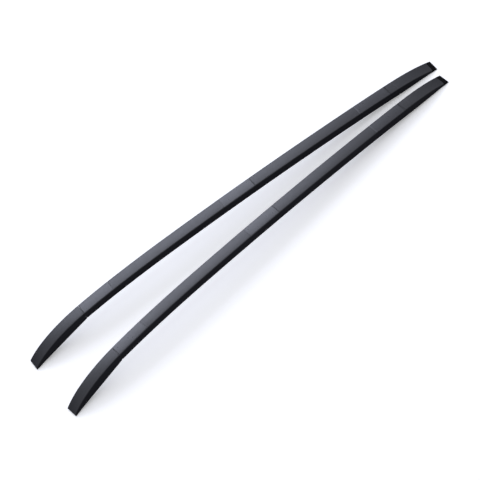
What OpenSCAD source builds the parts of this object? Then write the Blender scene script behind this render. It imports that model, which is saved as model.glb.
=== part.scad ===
// Pair of low-profile roof rail bars, in millimetres.
// Each bar is a stretch-bent hollow rail between a long front foot and a short rear cap.
// Three covers, flush with the top of the rail, close the pockets over its fixing plates.

/* [Layout of the pair] */
// Distance between the centre lines of the bars at their front tips
front_spacing = 273; // [120:1:900]
// Angle by which the bars close up towards the rear
splay = 6.66; // [0:0.01:7]
// How far the right bar is set back from the left one
stagger = 11.5; // [0:0.5:60]

/* [Top line: front foot] */
// Slope of the top line at the front tip, in degrees
tip_slope = 36; // [34:0.1:38]
// Radius of the bend at the front tip
tip_bend_r = 275; // [260:1:290]
// Slope at the end of the bend at the front tip
brow_slope = 23; // [22:0.1:24]
// Radius of the bend over the middle of the foot
brow_bend_r = 480; // [440:5:520]
// Slope at the end of the bend over the middle of the foot
shoulder_slope = 13; // [12:0.1:14]
// Radius of the bend that leads the foot into the rail
shoulder_bend_r = 700; // [660:5:760]

/* [Top line: rail] */
// Slope where the foot meets the rail
seam_slope = 4.75; // [4.55:0.05:5.2]
// Radius of the first bend of the rail
front_bend_r = 2600; // [2500:10:2900]
// Slope at the end of the first bend of the rail
rise_slope = 1.45; // [1.2:0.05:1.6]
// Radius of the second bend of the rail
rise_bend_r = 4400; // [4000:10:5000]
// Slope at the start of the long, nearly straight bend
main_slope = -1.15; // [-1.3:0.05:-1]
// Radius of the long, nearly straight bend
main_bend_r = 12500; // [12000:50:13500]
// Slope at the end of the long, nearly straight bend
tail_slope = -4.9; // [-5.1:0.05:-4.7]
// Radius of the last bend of the rail
tail_bend_r = 5000; // [4500:10:5800]

/* [Top line: rear cap] */
// Slope where the rail meets the rear cap
cap_slope = -6.3; // [-6.6:0.05:-6.1]
// Radius of the first bend of the rear cap
cap_bend_r = 800; // [740:5:860]
// Slope at the end of the first bend of the rear cap
nose_slope = -12.7; // [-13.4:0.1:-12]
// Radius of the last bend of the rear cap
nose_bend_r = 400; // [370:5:430]
// Slope where the top of the rear cap ends in its bevel
bevel_slope = -19; // [-20:0.1:-18]

/* [Rail section] */
// Width of the bar
rail_w = 48.5; // [44:0.5:54]
// Height of the rail without its gasket
rail_h = 24.5; // [22:0.5:27]
// Radius of the slight crown across the top
crown_r = 260; // [180:5:600]
// Radius of the upper edges
edge_r = 3; // [2.6:0.1:4.5]
// Thickness of the side walls
side_wall = 2.2; // [1.9:0.1:2.6]
// Thickness of the top wall at the middle
top_wall = 2.6; // [2:0.1:3.2]
// Thickness of the lower web
web_t = 2.6; // [2.2:0.1:3.2]
// Depth of the inner ledges below the top
ledge_depth = 11; // [10.6:0.1:11.6]
// Width of the inner ledges
ledge_w = 2; // [1.6:0.1:2.6]
// Thickness of the inner ledges
ledge_t = 1.8; // [1.4:0.1:2.2]

/* [Base gasket] */
// Thickness of the rubber under the whole bar
gasket_t = 3; // [2:0.1:4]
// How far the rubber stands back from the sides
gasket_inset = 1; // [0.8:0.1:3]
// Distance of each bead of the gasket from the centre line
bead_offset = 14; // [13.6:0.1:16]
// Width of the beads of the gasket
bead_w = 4; // [2:0.1:4.6]
// Height of the beads of the gasket
bead_h = 1; // [0.5:0.1:1.4]

/* [Fixing points and covers] */
// Length of each cover along the rail
cover_len = 126; // [116:1:140]
// Depth of the covers at the sides
cover_depth = 7; // [6:0.1:8]
// Wall of the covers
cover_wall = 2.2; // [1.8:0.1:2.6]
// Distance of the middle fixing point from the front end of the rail
middle_point = 647; // [500:1:800]
// Distance of the rear fixing point from the rear end of the rail
rear_point_inset = 92; // [88:1:140]
// Width of the open joint at each end of a cover
joint_gap = 0.5; // [0.3:0.1:1]
// Thickness of the walls that stiffen the ends of the covers
cover_rib_t = 1.8; // [1.2:0.1:2.4]
// Length of each snap leg along the rail
leg_len = 10; // [6:1:14]
// Thickness of the snap legs
leg_t = 1.8; // [1.2:0.1:2.2]
// Distance of the snap legs from the middle of the cover
leg_offset = 46; // [42:1:50]
// Height of the hooks of the snap legs
hook_h = 2; // [1.2:0.1:2.2]
// How far the hooks of the snap legs reach under the ledges
hook_reach = 1.2; // [0.6:0.1:1.4]

/* [Fixing plates] */
// Length of the steel plates
plate_len = 72; // [64:1:76]
// Width of the steel plates
plate_w = 30; // [24:0.5:34]
// Thickness of the steel plates
plate_t = 4; // [3:0.1:4.5]
// Corner radius of the steel plates
plate_corner_r = 4; // [2:0.5:6]
// Space under a piece that lies flat on another
seat_gap = 0.03; // [0.01:0.01:0.1]
// Diameter of the bolt bore
bolt_bore_d = 9; // [7:0.1:11]
// Diameter of the clearance hole in the web and the gasket
web_hole_d = 15; // [13:0.1:18]
// Diameter of the rivets
rivet_d = 4.8; // [4:0.1:6]
// Diameter of the rivet heads
rivet_head_d = 9; // [8:0.1:11]
// Height of the rivet heads
rivet_head_h = 1.6; // [1:0.1:2]
// Distance of each rivet from the bolt bore
rivet_offset = 25; // [20:0.5:27]

/* [End pieces] */
// Height of the blunt front tip
tip_t = 8; // [7.4:0.1:9]
// Height of the blunt rear tip
nose_t = 3; // [2.5:0.1:4]
// Length of the bevel on the nose of the rear cap
nose_len = 18.5; // [16:0.5:21]
// Fall of the bevel on the nose of the rear cap
nose_fall = 8; // [7:0.1:9]
// Length over which each corner of the nose is bevelled
nose_corner_len = 21; // [19:0.5:24]
// Wall of the moulded end pieces
mould_wall = 3; // [2.4:0.1:3.6]
// Thickness of the ribs inside the end pieces
mould_rib_t = 2; // [1.5:0.1:3]
// Distance between the ribs inside the end pieces
rib_pitch = 34; // [28:1:44]
// Length of bare moulding between each tip and its pad
pad_setback = 26; // [22:1:32]
// Length of solid moulding over the outer end of each pad
pad_seat_len = 4; // [3:0.5:6]
// Width of the rubber frame of each pad
pad_frame_w = 7; // [5:0.5:9]
// Length of the spigots that fit in the rail
spigot_len = 20; // [17:1:22]
// Open joint where the end pieces meet the rail
seam_gap = 0.3; // [0.2:0.1:0.6]
// Free space all round between fitted pieces
fit_gap = 0.15; // [0.1:0.01:0.2]
// Diameter of the screws that hold the end pieces
screw_d = 5; // [4:0.1:5.5]
// Diameter of the screw heads
screw_head_d = 9.4; // [8:0.1:10]
// Height of the countersunk screw heads
screw_head_h = 2.2; // [1.8:0.1:2.2]
// Length of the screws
screw_len = 7; // [6:0.1:7.4]
// Distance of the end screws from the ends of the rail
screw_inset = 11; // [9:0.5:13]
// Distance of the end screws from the centre line
screw_offset = 6; // [5.6:0.1:6.4]

/* [Hidden] */

coat = [0.17, 0.17, 0.19];
moulding = [0.13, 0.13, 0.15];
rubber = [0.06, 0.06, 0.07];
zinc = [0.66, 0.67, 0.69];

// Chords of each bend, of each upper edge and of half the crown, and sides of a round shape
bend_sides = 5;
edge_sides = 5;
crown_sides = 3;
round_sides = 32;
// Deeper and longer than any piece, for cuts and clips
reach = 80;
// How far sweeps and cuts run out past the tips, so that the tips can be cut
run_out = 12;
// How far cuts pass the faces that they go through
overcut = 1;
// How far a leg, wall or shank runs into the body that it grows from
weld = 0.5;

// Slopes at the joints of the top line, and the radius of the bend after each of them
slopes = [
  tip_slope, brow_slope, shoulder_slope,
  seam_slope, rise_slope, main_slope, tail_slope,
  cap_slope, nose_slope, bevel_slope
];
radii = [
  tip_bend_r, brow_bend_r, shoulder_bend_r,
  front_bend_r, rise_bend_r, main_bend_r, tail_bend_r,
  cap_bend_r, nose_bend_r
];
last_bend = len(radii) - 1;

// A station is a distance along the top line from the front tip
function bend_len(i) = radii[i] * (slopes[i] - slopes[i + 1]) * PI / 180;
function station(i) = i == 0 ? 0 : station(i - 1) + bend_len(i - 1);
function bend_at(s, i = 0) = i == last_bend || s < station(i + 1) ? i : bend_at(s, i + 1);
// Slopes between joints are whole ten-thousandths of a degree
function slope_in(i, s) = round(1e4 * (slopes[i] - (s - station(i)) / radii[i] * 180 / PI)) / 1e4;
function slope_at(s) = slope_in(bend_at(s), s);

// Centre of each bend and points of the top line, as [x, z]
function upward(slope) = [-sin(slope), cos(slope)];
function bend_centre(i) =
  i == 0
    ? [0, tip_t] - radii[0] * upward(slopes[0])
    : bend_centre(i - 1) + (radii[i - 1] - radii[i]) * upward(slopes[i]);
function line_point(s, depth = 0) =
  let (i = bend_at(s))
  bend_centre(i) + (radii[i] - depth) * upward(slope_in(i, s));

foot_len = station(3);
rail_end = station(7);
line_end = station(9);
base_depth = rail_h + gasket_t;
foot_edge = foot_len - seam_gap;
cap_edge = rail_end + seam_gap;
points = [foot_len + cover_len / 2, foot_len + middle_point, rail_end - rear_point_inset];

// Straight base lines of the two end pieces, in the side view
front_base = [0, 0];
foot_base = line_point(foot_len, base_depth);
cap_base = line_point(rail_end, base_depth);
bevel_start = line_point(line_end);
bevel_end = bevel_start + [nose_len, -nose_fall];
rear_base = bevel_end - [0, nose_t];
bar_len = norm(rear_base);
rest_tilt = atan2(rear_base[1], rear_base[0]);
function unit(v) = v / norm(v);
function left_of(v) = [-v[1], v[0]];
foot_dir = unit(foot_base - front_base);
cap_dir = unit(rear_base - cap_base);

// Inside of the rail, and the chamber below its ledges
inner_w = rail_w - 2 * side_wall;
inner_h = rail_h - top_wall - web_t;
web_top = rail_h - web_t;
hook_end = ledge_depth + ledge_t + fit_gap + hook_h;
leg_y = inner_w / 2 - ledge_w - fit_gap;

// Corners of both bars on the ground, to centre the pair over the origin
function turned(p, a) = [p[0] * cos(a) - p[1] * sin(a), p[0] * sin(a) + p[1] * cos(a)];
left_tip = [0, -front_spacing / 2];
right_tip = [stagger, front_spacing / 2];
bar_corners = [for (x = [0, bar_len], y = [-rail_w / 2, rail_w / 2]) [x, y]];
ground = concat(
  [for (c = bar_corners) left_tip + turned(c, splay / 2)],
  [for (c = bar_corners) right_tip + turned(c, -splay / 2)]
);
ground_x = [for (c = ground) c[0]];
ground_y = [for (c = ground) c[1]];
middle = [(min(ground_x) + max(ground_x)) / 2, (min(ground_y) + max(ground_y)) / 2];

module left_bar() {
  translate([left_tip[0] - middle[0], left_tip[1] - middle[1], 0])
    rotate([0, rest_tilt, splay / 2])
      children();
}

module right_bar() {
  translate([right_tip[0] - middle[0], right_tip[1] - middle[1], 0])
    rotate([0, rest_tilt, -splay / 2])
      children();
}

// Moves by whole millimetres, then by their decimals, then by what is left,
// so that bends of very different radius meet without a step
module fine_move(v) {
  whole = [for (c = v) round(c)];
  decimals = [for (c = v - whole) round(c * 1e5) / 1e5];
  translate(whole)
    translate(decimals)
      translate(v - whole - decimals)
        children();
}

// Sweeps a flat profile along the top line. In a profile x is the height above
// the top line and y is the place across the bar.
module bend(i, from_slope, to_slope) {
  centre = bend_centre(i);
  turn = from_slope - to_slope;
  fine_move([centre[0], 0, centre[1]])
    rotate([90, 0, 0])
      rotate_extrude(angle = turn, start = 90 + to_slope, $fn = ceil(360 / turn * bend_sides))
        translate([radii[i], 0])
          children();
}

module sweep(from, to) {
  for (i = [bend_at(from):last_bend]) {
    begins = i > bend_at(from) ? station(i) : from;
    ends = i == last_bend ? to : min(to, station(i + 1));
    if (ends > begins)
      bend(i, slope_in(i, begins), slope_in(i, ends))
        children();
  }
}

// Puts children, drawn with z up, at a station and a depth below the top line
module on_line(s, depth) {
  p = line_point(s, depth);
  translate([p[0], 0, p[1]])
    rotate([0, -slope_at(s), 0])
      children();
}

// Slab with a side view outline of [x, z] points, centred on the bar
module side_slab(outline, w) {
  translate([0, w / 2, 0])
    rotate([90, 0, 0])
      linear_extrude(w)
        polygon(outline);
}

// Crowned top with round upper edges and straight sides, down to a depth
function crowned_half(w, r) =
  let (
    edge_y = w / 2 - r,
    fan = asin(edge_y / (crown_r - r)),
    edge_x = (crown_r - r) * cos(fan) - crown_r
  )
  concat(
    [for (k = [0:crown_sides])
      [crown_r * cos(fan * k / crown_sides) - crown_r, crown_r * sin(fan * k / crown_sides)]],
    [for (k = [1:edge_sides])
      let (a = fan + (90 - fan) * k / edge_sides)
      [edge_x + r * cos(a), edge_y + r * sin(a)]]
  );

module crowned(w, depth, r) {
  half = crowned_half(w, r);
  polygon(concat(
    half,
    [[-depth, w / 2], [-depth, -w / 2]],
    [for (k = [len(half) - 1:-1:1]) [half[k][0], -half[k][1]]]
  ));
}

// Strip from one depth to another, drawn across the bar between two places
module strip(top, bottom, y_from, y_to) {
  translate([-bottom, y_from])
    square([bottom - top, y_to - y_from]);
}

module both_sides() {
  children();
  mirror([0, 1])
    children();
}

module rail_profile() {
  difference() {
    crowned(rail_w, rail_h, edge_r);
    difference() {
      translate([-top_wall, 0])
        crowned(inner_w, inner_h, edge_r - side_wall / 2);
      both_sides()
        strip(ledge_depth, ledge_depth + ledge_t, inner_w / 2 - ledge_w, inner_w);
    }
    both_sides()
      strip(rail_h - bead_h - fit_gap, reach, bead_offset - bead_w / 2 - fit_gap,
        bead_offset + bead_w / 2 + fit_gap);
  }
}

// Places for the end screws, at the underside of the rail
module at_screws(s) {
  for (side = [-1, 1])
    on_line(s, rail_h)
      translate([0, side * screw_offset, 0])
        children();
}

module at_rivets(s, depth) {
  for (side = [-1, 1])
    on_line(s, depth)
      translate([side * rivet_offset, 0, 0])
        children();
}

// Cone of a screw head with a gap around it, run on past both of its ends
module countersunk(gap, past) {
  taper = (screw_head_d - screw_d) / screw_head_h;
  translate([0, 0, -past])
    cylinder(
      d1 = screw_head_d + 2 * gap + taper * past, d2 = screw_d + 2 * gap - taper * past,
      h = screw_head_h + 2 * past, $fn = round_sides
    );
}

module rail() {
  color(coat)
    difference() {
      sweep(foot_len, rail_end)
        rail_profile();
      for (s = points)
        sweep(s - cover_len / 2 - (s == points[0] ? overcut : 0), s + cover_len / 2)
          strip(-reach / 4, cover_depth, -reach / 2, reach / 2);
      for (s = points)
        on_line(s, rail_h)
          cylinder(d = web_hole_d, h = 3 * web_t, center = true, $fn = round_sides);
      for (s = points)
        at_rivets(s, rail_h)
          cylinder(d = rivet_d + 2 * fit_gap, h = 3 * web_t, center = true, $fn = round_sides);
      for (s = [foot_len + screw_inset, rail_end - screw_inset])
        at_screws(s) {
          cylinder(d = screw_d + 2 * fit_gap, h = 3 * web_t, center = true, $fn = round_sides);
          countersunk(fit_gap, fit_gap);
        }
    }
}

// Saddle that closes a pocket of the rail, with snap legs under the inner ledges
module cover_profile() {
  difference() {
    crowned(rail_w, cover_depth, edge_r);
    translate([-cover_wall, 0])
      crowned(rail_w - 2 * cover_wall, reach, edge_r - cover_wall / 2);
  }
}

module snap_leg_profile() {
  both_sides() {
    strip(cover_wall - weld, hook_end, leg_y - leg_t, leg_y);
    strip(hook_end - hook_h, hook_end, leg_y - leg_t, leg_y + hook_reach);
  }
}

module cover(s) {
  first = s - cover_len / 2 + joint_gap;
  last = s + cover_len / 2 - joint_gap;
  end_wall_w = inner_w - 2 * fit_gap;
  color(moulding) {
    sweep(first, last)
      cover_profile();
    for (a = [first, last - cover_rib_t])
      sweep(a, a + cover_rib_t)
        strip(cover_wall - weld, ledge_depth - fit_gap, -end_wall_w / 2, end_wall_w / 2);
    for (side = [-1, 1])
      sweep(s + side * leg_offset - leg_len / 2, s + side * leg_offset + leg_len / 2)
        snap_leg_profile();
  }
}

// Steel plate that carries the roof bolt, riveted to the web of the rail
module fixing_plate(s) {
  color(zinc)
    on_line(s, web_top - seat_gap)
      difference() {
        linear_extrude(plate_t)
          union() {
            square([plate_len - 2 * plate_corner_r, plate_w], center = true);
            square([plate_len, plate_w - 2 * plate_corner_r], center = true);
            for (x = [-1, 1], y = [-1, 1])
              translate([x * (plate_len / 2 - plate_corner_r), y * (plate_w / 2 - plate_corner_r)])
                circle(r = plate_corner_r, $fn = round_sides);
          }
        cylinder(d = bolt_bore_d, h = 3 * plate_t, center = true, $fn = 2 * round_sides);
        for (side = [-1, 1])
          translate([side * rivet_offset, 0, 0])
            cylinder(d = rivet_d + 2 * fit_gap, h = 3 * plate_t, center = true, $fn = round_sides);
      }
}

module plate_rivets() {
  color(zinc)
    for (s = points)
      at_rivets(s, web_top - plate_t - 2 * seat_gap) {
        cylinder(d1 = rivet_head_d, d2 = rivet_head_d / 2, h = rivet_head_h, $fn = round_sides);
        translate([0, 0, -plate_t - web_t / 2])
          cylinder(d = rivet_d, h = plate_t + web_t / 2 + weld, $fn = round_sides);
      }
}

module end_screws() {
  color(zinc)
    for (s = [foot_len + screw_inset, rail_end - screw_inset])
      at_screws(s) {
        countersunk(0, 0);
        cylinder(d = screw_d, h = screw_len, $fn = round_sides);
      }
}

// Tongue of an end piece in the chamber of the rail, with its screw holes
module spigot(from, to, screws_at) {
  difference() {
    sweep(from, to)
      strip(hook_end + 2 * fit_gap, web_top - fit_gap,
        -inner_w / 2 + fit_gap, inner_w / 2 - fit_gap);
    at_screws(screws_at)
      cylinder(d = screw_d + 2 * fit_gap, h = reach, center = true, $fn = round_sides);
  }
}

// Space inside an end piece: the swept inner form above its base line, less the ribs
module ribbed_hollow(from, to, outline, ribs) {
  difference() {
    intersection() {
      sweep(from, to)
        translate([-mould_wall, 0])
          crowned(rail_w - 2 * mould_wall, reach / 2, edge_r - mould_wall / 2);
      side_slab(outline, rail_w);
    }
    side_slab(
      [[-reach, -reach], [bar_len + reach, -reach], [bar_len + reach, 2 * reach], [-reach, 2 * reach]],
      mould_rib_t
    );
    for (x = ribs)
      translate([x, -rail_w / 2, -reach])
        cube([mould_rib_t, rail_w, 3 * reach]);
  }
}

// Long moulded foot under the first stretch of the top line, with a straight base
module front_foot() {
  far_base = foot_base + reach / 4 * foot_dir;
  up = left_of(foot_dir);
  pad_start = front_base + pad_setback * foot_dir;
  seat_end = pad_start + pad_seat_len * foot_dir;
  color(moulding) {
    difference() {
      intersection() {
        sweep(-run_out, foot_edge)
          crowned(rail_w, reach, edge_r);
        side_slab([front_base, far_base, far_base + [0, reach], [0, 2 * reach]], rail_w + 2 * overcut);
      }
      side_slab(
        [pad_start - overcut * up, far_base - overcut * up, far_base + gasket_t * up, pad_start + gasket_t * up],
        rail_w + 2 * overcut
      );
      ribbed_hollow(
        0, foot_edge - mould_wall,
        [seat_end, far_base, far_base + [0, reach], seat_end + [0, reach]],
        [pad_start[0] + rib_pitch:rib_pitch:foot_base[0] - rib_pitch / 2]
      );
    }
    spigot(foot_edge - mould_wall, foot_len + spigot_len, foot_len + screw_inset);
  }
}

// Short moulded cap that runs out in a nose, bevelled in front and at both corners
module rear_cap() {
  far_base = cap_base - reach / 4 * cap_dir;
  up = left_of(cap_dir);
  pad_end = rear_base - pad_setback * cap_dir;
  seat_end = pad_end - pad_seat_len * cap_dir;
  bevel_from = bevel_start - run_out * unit(bevel_end - bevel_start);
  bevel_to = bevel_end + reach * unit(bevel_end - bevel_start);
  corner_fall = atan2(nose_fall, nose_corner_len * cos(45));
  color(moulding) {
    difference() {
      intersection() {
        sweep(cap_edge, line_end + nose_len + run_out)
          crowned(rail_w, reach, edge_r);
        side_slab([far_base, rear_base, rear_base + [0, reach], far_base + [0, 2 * reach]], rail_w + 2 * overcut);
      }
      side_slab(
        [bevel_from, bevel_to, bevel_to + [0, reach], bevel_from + [0, reach]],
        rail_w + 2 * overcut
      );
      for (side = [-1, 1])
        translate([bevel_end[0], side * rail_w / 2, bevel_end[1]])
          rotate([0, 0, side * 45])
            rotate([0, corner_fall, 0])
              translate([-reach / 2, -reach / 2, 0])
                cube([reach, reach, reach]);
      side_slab(
        [far_base - overcut * up, pad_end - overcut * up, pad_end + gasket_t * up, far_base + gasket_t * up],
        rail_w + 2 * overcut
      );
      ribbed_hollow(
        cap_edge + mould_wall, line_end + nose_len,
        [far_base, seat_end, seat_end + [0, reach], far_base + [0, reach]],
        [cap_base[0] + rib_pitch:rib_pitch:pad_end[0] - rib_pitch / 2]
      );
    }
    spigot(rail_end - spigot_len, cap_edge + mould_wall, rail_end - screw_inset);
  }
}

// Rubber frame under an end piece, between two points of its base line
module pad(from, to) {
  dir = unit(to - from);
  up = left_of(dir);
  start = from + fit_gap * dir;
  length = norm(to - start);
  window = (length - 3 * pad_frame_w) / 2;
  pad_w = rail_w - 2 * gasket_inset;
  color(rubber)
    translate([start[0], 0, start[1]])
      rotate([0, -atan2(dir[1], dir[0]), 0])
        difference() {
          translate([0, -pad_w / 2, 0])
            cube([length, pad_w, gasket_t - seat_gap]);
          for (k = [0, 1])
            translate([pad_frame_w + k * (window + pad_frame_w), pad_frame_w - pad_w / 2, -overcut])
              cube([window, pad_w - 2 * pad_frame_w, gasket_t + 2 * overcut]);
        }
}

module front_pad() {
  pad(front_base + pad_setback * foot_dir, foot_base - gasket_t * foot_dir);
}

module rear_pad() {
  pad(cap_base + gasket_t * cap_dir, rear_base - (pad_setback + fit_gap) * cap_dir);
}

// Rubber strip under the rail, with two beads that sit in its grooves
module base_gasket() {
  color(rubber)
    difference() {
      sweep(foot_len + seam_gap, rail_end - seam_gap)
        union() {
          strip(rail_h, base_depth, gasket_inset - rail_w / 2, rail_w / 2 - gasket_inset);
          both_sides()
            strip(rail_h - bead_h, base_depth, bead_offset - bead_w / 2, bead_offset + bead_w / 2);
        }
      for (s = points)
        on_line(s, base_depth)
          cylinder(d = web_hole_d, h = 4 * gasket_t, center = true, $fn = round_sides);
    }
}

left_bar() rail();  // left_rail
left_bar() front_foot();  // left_front_foot
left_bar() rear_cap();  // left_rear_cap
left_bar() cover(points[0]);  // left_front_cover
left_bar() cover(points[1]);  // left_middle_cover
left_bar() cover(points[2]);  // left_rear_cover
left_bar() fixing_plate(points[0]);  // left_front_plate
left_bar() fixing_plate(points[1]);  // left_middle_plate
left_bar() fixing_plate(points[2]);  // left_rear_plate
left_bar() base_gasket();  // left_base_gasket
left_bar() front_pad();  // left_front_pad
left_bar() rear_pad();  // left_rear_pad
left_bar() end_screws();  // left_end_screws
left_bar() plate_rivets();  // left_plate_rivets
right_bar() rail();  // right_rail
right_bar() front_foot();  // right_front_foot
right_bar() rear_cap();  // right_rear_cap
right_bar() cover(points[0]);  // right_front_cover
right_bar() cover(points[1]);  // right_middle_cover
right_bar() cover(points[2]);  // right_rear_cover
right_bar() fixing_plate(points[0]);  // right_front_plate
right_bar() fixing_plate(points[1]);  // right_middle_plate
right_bar() fixing_plate(points[2]);  // right_rear_plate
right_bar() base_gasket();  // right_base_gasket
right_bar() front_pad();  // right_front_pad
right_bar() rear_pad();  // right_rear_pad
right_bar() end_screws();  // right_end_screws
right_bar() plate_rivets();  // right_plate_rivets
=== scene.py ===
"""Pair of low roof rail bars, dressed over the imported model, on a pale studio floor."""

import logging
import math
from dataclasses import dataclass, field
from enum import Enum

import bmesh
import bpy
from mathutils import Matrix, Vector


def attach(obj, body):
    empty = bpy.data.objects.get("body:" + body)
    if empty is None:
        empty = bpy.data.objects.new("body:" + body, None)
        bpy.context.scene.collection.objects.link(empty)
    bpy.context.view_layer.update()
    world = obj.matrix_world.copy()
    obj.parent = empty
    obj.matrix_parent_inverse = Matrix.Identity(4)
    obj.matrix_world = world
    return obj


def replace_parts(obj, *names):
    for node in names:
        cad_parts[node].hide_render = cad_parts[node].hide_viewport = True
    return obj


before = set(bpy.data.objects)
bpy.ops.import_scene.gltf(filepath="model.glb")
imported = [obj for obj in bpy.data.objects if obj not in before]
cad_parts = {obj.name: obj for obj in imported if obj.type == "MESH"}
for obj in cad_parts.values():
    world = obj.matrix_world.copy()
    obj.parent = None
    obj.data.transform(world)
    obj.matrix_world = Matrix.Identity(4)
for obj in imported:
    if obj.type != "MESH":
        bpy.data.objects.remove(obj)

log = logging.getLogger("roof_rail_bars")

# Lengths are in metres and angles in degrees
MM = 0.001
SMALLEST = 1e-6
HOLE_SEGMENTS = 48
CROWN_STEPS = 8
EDGE_STEPS = 9
SHARP_FROM = 26.0
SOFT_STEPS = 2
GAP_SIDES = 8
Outline = list[tuple[float, float] | Vector]


# The line along the top


@dataclass(frozen=True)
class TopLine:
    """Line along the top of a bar, made of bends that meet without a step.

    A station is a distance along the line from the front tip. Points are (x, z) in the frame of
    the bar.
    """

    slopes: tuple[float, ...] = (36, 23, 13, 4.75, 1.45, -1.15, -4.9, -6.3, -12.7, -19)
    radii: tuple[float, ...] = (
        275 * MM, 480 * MM, 700 * MM, 2600 * MM, 4400 * MM, 12500 * MM, 5000 * MM, 800 * MM,
        400 * MM,
    )
    tip_t: float = 8 * MM
    lead: float = 12 * MM
    longest_step: float = 9 * MM
    largest_turn: float = 0.45

    def bend_len(self, i: int) -> float:
        """Returns the length of bend i."""
        return self.radii[i] * math.radians(self.slopes[i] - self.slopes[i + 1])

    def station(self, i: int) -> float:
        """Returns the station where bend i starts."""
        return sum(self.bend_len(k) for k in range(i))

    def bend_at(self, s: float) -> int:
        """Returns the bend that holds station s."""
        last = len(self.radii) - 1
        return next((i for i in range(last) if s < self.station(i + 1)), last)

    def slope(self, s: float) -> float:
        """Returns the slope at station s, in degrees."""
        i = self.bend_at(s)
        return self.slopes[i] - math.degrees((s - self.station(i)) / self.radii[i])

    def upward(self, slope: float) -> Vector:
        """Returns the direction square to the line, out of the top."""
        return Vector((-math.sin(math.radians(slope)), math.cos(math.radians(slope))))

    def centre(self, i: int) -> Vector:
        """Adds up the steps between the centres of the bends.

        Args:
            i: bend whose centre is wanted.

        Returns:
            The centre as (x, z).
        """
        c = Vector((0.0, self.tip_t)) - self.radii[0] * self.upward(self.slopes[0])
        for k in range(1, i + 1):
            c += (self.radii[k - 1] - self.radii[k]) * self.upward(self.slopes[k])
        return c

    def point(self, s: float, depth: float = 0.0) -> Vector:
        """Returns the point at station s, a depth below the top.

        Args:
            s: station on the line.
            depth: distance below the top, square to it.

        Returns:
            The point as (x, z).
        """
        i = self.bend_at(s)
        return self.centre(i) + (self.radii[i] - depth) * self.upward(self.slope(s))

    def samples(self, end: float) -> list[float]:
        """Picks stations that lie close in tight bends.

        Args:
            end: last station.

        Returns:
            Stations from the lead before the tip to the end.
        """
        found: list[float] = []
        s = -self.lead
        while s < end:
            found.append(s)
            radius = self.radii[self.bend_at(s)]
            s += min(self.longest_step, radius * math.radians(self.largest_turn))
        return found + [end]


@dataclass(frozen=True)
class BarSizes:
    """Sizes that more than one piece of a bar uses, in metres."""

    line: TopLine = field(default_factory=TopLine)
    width: float = 48.5 * MM
    height: float = 24.5 * MM
    crown_r: float = 260 * MM
    edge_r: float = 3 * MM
    least_edge_r: float = 1.5 * MM
    side_wall: float = 2.2 * MM
    web_t: float = 2.6 * MM
    ledge_depth: float = 11 * MM
    ledge_w: float = 2 * MM
    ledge_t: float = 1.8 * MM
    gasket_t: float = 3 * MM
    cover_len: float = 126 * MM
    cover_depth: float = 7 * MM
    middle_point: float = 647 * MM
    rear_point_inset: float = 92 * MM
    seam_gap: float = 0.3 * MM
    joint_gap: float = 0.5 * MM
    fit_gap: float = 0.15 * MM
    web_hole_d: float = 15 * MM
    nose_len: float = 18.5 * MM
    nose_fall: float = 8 * MM
    nose_t: float = 3 * MM
    overcut: float = 1 * MM
    skin: float = 0.02 * MM

    @property
    def foot_len(self) -> float:
        """Station where the foot meets the rail."""
        return self.line.station(3)

    @property
    def rail_end(self) -> float:
        """Station where the rail meets the cap."""
        return self.line.station(7)

    @property
    def line_end(self) -> float:
        """Station where the top of the cap ends in its bevel."""
        return self.line.station(9)

    @property
    def points(self) -> list[float]:
        """Stations of the three fixing points."""
        return [
            self.foot_len + self.cover_len / 2,
            self.foot_len + self.middle_point,
            self.rail_end - self.rear_point_inset,
        ]

    @property
    def inner_w(self) -> float:
        """Width between the side walls."""
        return self.width - 2 * self.side_wall

    @property
    def foot_base(self) -> Vector:
        """Rear end of the foot's base line."""
        return self.line.point(self.foot_len, self.height + self.gasket_t)

    @property
    def cap_base(self) -> Vector:
        """Front end of the cap's base line."""
        return self.line.point(self.rail_end, self.height + self.gasket_t)

    @property
    def bevel_end(self) -> Vector:
        """Lower end of the bevel on the nose."""
        return self.line.point(self.line_end) + Vector((self.nose_len, -self.nose_fall))

    @property
    def rear_base(self) -> Vector:
        """Lower corner of the nose."""
        return self.bevel_end - Vector((0, self.nose_t))


class Side(Enum):
    """Bar of the pair. The value is +1 for the bar that turns left going back."""

    LEFT = 1
    RIGHT = -1

    @property
    def prefix(self) -> str:
        """Start of the names of the bar's nodes."""
        return self.name.lower() + "_"


@dataclass(frozen=True)
class PairLayout:
    """Where the two bars lie on the ground."""

    sizes: BarSizes
    front_spacing: float = 273 * MM
    splay: float = 6.66
    stagger: float = 11.5 * MM

    def tip(self, side: Side) -> Vector:
        """Returns the place of a bar's front tip before the pair is centred."""
        back = self.stagger if side is Side.RIGHT else 0
        return Vector((back, -side.value * self.front_spacing / 2, 0))

    def turn(self, side: Side) -> Matrix:
        """Returns the turn of a bar about the vertical."""
        return Matrix.Rotation(side.value * math.radians(self.splay / 2), 4, "Z")

    def middle(self) -> Vector:
        """Finds the middle of the box around both footprints.

        Returns:
            The middle, on the ground.
        """
        length = self.sizes.rear_base.length
        corners = [
            self.tip(side) + self.turn(side) @ Vector((x, y, 0))
            for side in Side
            for x in (0, length)
            for y in (-self.sizes.width / 2, self.sizes.width / 2)
        ]
        xs = [c.x for c in corners]
        ys = [c.y for c in corners]
        return Vector(((min(xs) + max(xs)) / 2, (min(ys) + max(ys)) / 2, 0))

    def matrix(self, side: Side) -> Matrix:
        """Lays a bar down, turns it and centres the pair.

        Args:
            side: bar of the pair.

        Returns:
            The matrix from the bar's own frame to the frame of the pair.
        """
        base = self.sizes.rear_base
        tilt = math.atan2(base.y, base.x)
        return (
            Matrix.Translation(self.tip(side) - self.middle())
            @ self.turn(side)
            @ Matrix.Rotation(tilt, 4, "Y")
        )


# Mesh tools


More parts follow.
